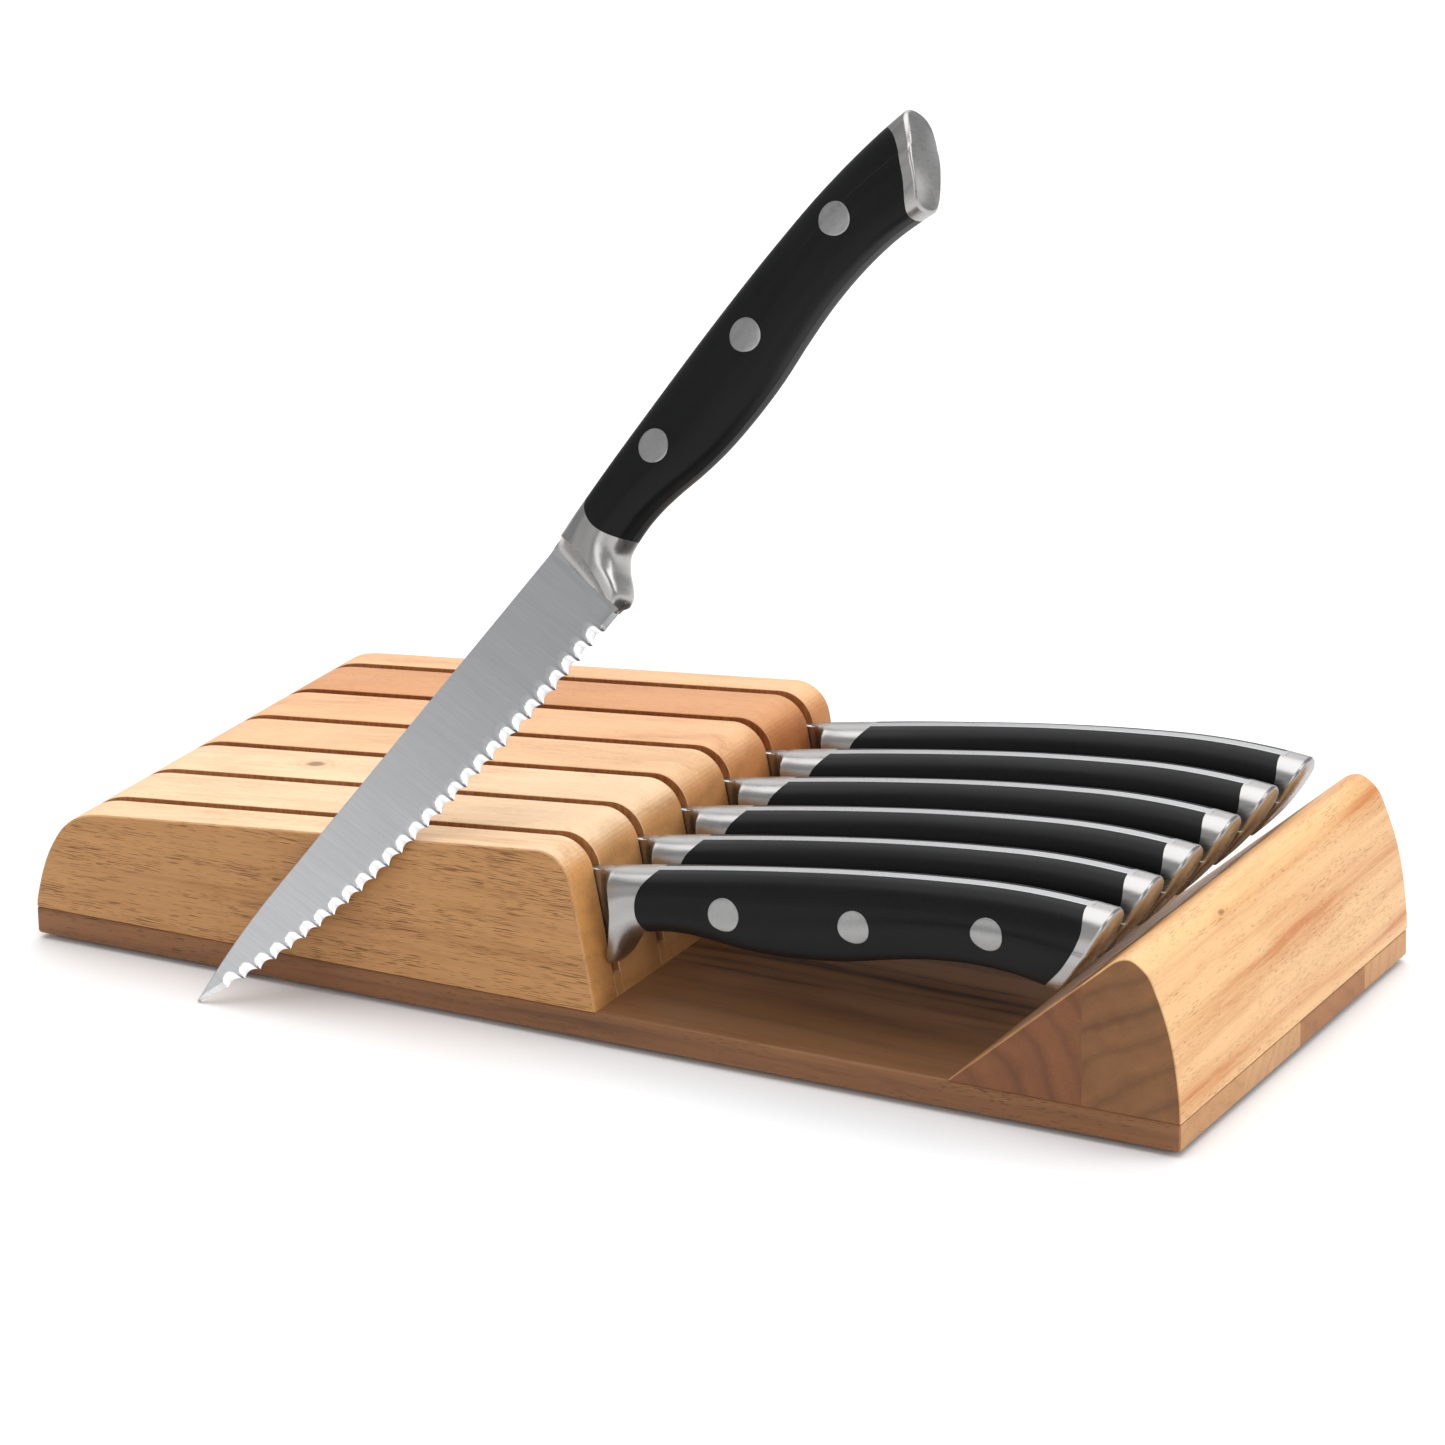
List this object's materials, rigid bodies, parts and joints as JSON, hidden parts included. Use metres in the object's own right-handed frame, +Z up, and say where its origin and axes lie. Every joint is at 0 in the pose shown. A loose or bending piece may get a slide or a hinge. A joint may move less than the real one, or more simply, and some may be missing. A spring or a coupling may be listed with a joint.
{
  "type": "steak knife block with knives",
  "caption": "Low wooden slotted block and ramped end rest on a base board, holding serrated steak knives flat side by side, with one more knife leaning on it.",
  "frame": {"origin": "on the standing plane, under the middle of the base board", "axes": "+X along the base from the blade end to the handle end, +Y from the front to the back, +Z up"},
  "size_m": [0.27, 0.1328, 0.1906],
  "materials": {
    "base_wood": "oiled satin, straight grain along the board",
    "slat_wood_pale": "oiled satin, fine grain",
    "slat_wood_tan": "oiled satin, fine grain",
    "slat_wood_peach": "oiled satin, fine grain",
    "rest_wood": "oiled satin, grain across the board",
    "blade_steel": "fine brushed",
    "bolster_steel": "satin polished",
    "rivet_steel": "ground flush, satin",
    "handle_black": "satin, fine brushed",
    "screw_steel": "zinc plated",
    "rubber_black": "matte"
  },
  "bodies": {
    "stand": {"base_stave_1": "base_wood", "base_stave_2": "base_wood", "base_stave_3": "base_wood", "base_stave_4": "base_wood", "block_slat_1": "slat_wood_pale", "block_slat_2": "slat_wood_pale", "block_slat_3": "slat_wood_pale", "block_slat_4": "slat_wood_tan", "block_slat_5": "slat_wood_peach", "block_slat_6": "slat_wood_peach", "block_slat_7": "slat_wood_peach", "slot_floor_strips": "slat_wood_tan", "end_rest_inner": "rest_wood", "end_rest_outer": "rest_wood", "rubber_feet": "rubber_black", "base_screws": "screw_steel"},
    "knife_1": {"knife_1_blade": "blade_steel", "knife_1_bolster": "bolster_steel", "knife_1_end_cap": "bolster_steel", "knife_1_scale_left": "handle_black", "knife_1_scale_right": "handle_black", "knife_1_rivets": "rivet_steel"},
    "knife_2": {"knife_2_blade": "blade_steel", "knife_2_bolster": "bolster_steel", "knife_2_end_cap": "bolster_steel", "knife_2_scale_left": "handle_black", "knife_2_scale_right": "handle_black", "knife_2_rivets": "rivet_steel"},
    "knife_3": {"knife_3_blade": "blade_steel", "knife_3_bolster": "bolster_steel", "knife_3_end_cap": "bolster_steel", "knife_3_scale_left": "handle_black", "knife_3_scale_right": "handle_black", "knife_3_rivets": "rivet_steel"},
    "knife_4": {"knife_4_blade": "blade_steel", "knife_4_bolster": "bolster_steel", "knife_4_end_cap": "bolster_steel", "knife_4_scale_left": "handle_black", "knife_4_scale_right": "handle_black", "knife_4_rivets": "rivet_steel"},
    "knife_5": {"knife_5_blade": "blade_steel", "knife_5_bolster": "bolster_steel", "knife_5_end_cap": "bolster_steel", "knife_5_scale_left": "handle_black", "knife_5_scale_right": "handle_black", "knife_5_rivets": "rivet_steel"},
    "knife_6": {"knife_6_blade": "blade_steel", "knife_6_bolster": "bolster_steel", "knife_6_end_cap": "bolster_steel", "knife_6_scale_left": "handle_black", "knife_6_scale_right": "handle_black", "knife_6_rivets": "rivet_steel"},
    "leaning_knife": {"leaning_knife_blade": "blade_steel", "leaning_knife_bolster": "bolster_steel", "leaning_knife_end_cap": "bolster_steel", "leaning_knife_scale_left": "handle_black", "leaning_knife_scale_right": "handle_black", "leaning_knife_rivets": "rivet_steel"}
  },
  "joints": [
    {"name": "lift_knife_1", "type": "slide", "parent": "stand", "child": "knife_1", "axis": [0, 0, 1], "range_m": [0, 0.03]},
    {"name": "lift_knife_2", "type": "slide", "parent": "stand", "child": "knife_2", "axis": [0, 0, 1], "range_m": [0, 0.03]},
    {"name": "lift_knife_3", "type": "slide", "parent": "stand", "child": "knife_3", "axis": [0, 0, 1], "range_m": [0, 0.03]},
    {"name": "lift_knife_4", "type": "slide", "parent": "stand", "child": "knife_4", "axis": [0, 0, 1], "range_m": [0, 0.03]},
    {"name": "lift_knife_5", "type": "slide", "parent": "stand", "child": "knife_5", "axis": [0, 0, 1], "range_m": [0, 0.03]},
    {"name": "lift_knife_6", "type": "slide", "parent": "stand", "child": "knife_6", "axis": [0, 0, 1], "range_m": [0, 0.03]},
    {"name": "take_leaning_knife", "type": "slide", "parent": "stand", "child": "leaning_knife", "axis": [-0.0359, -0.92, 0.3902], "range_m": [0, 0.1]}
  ]
}
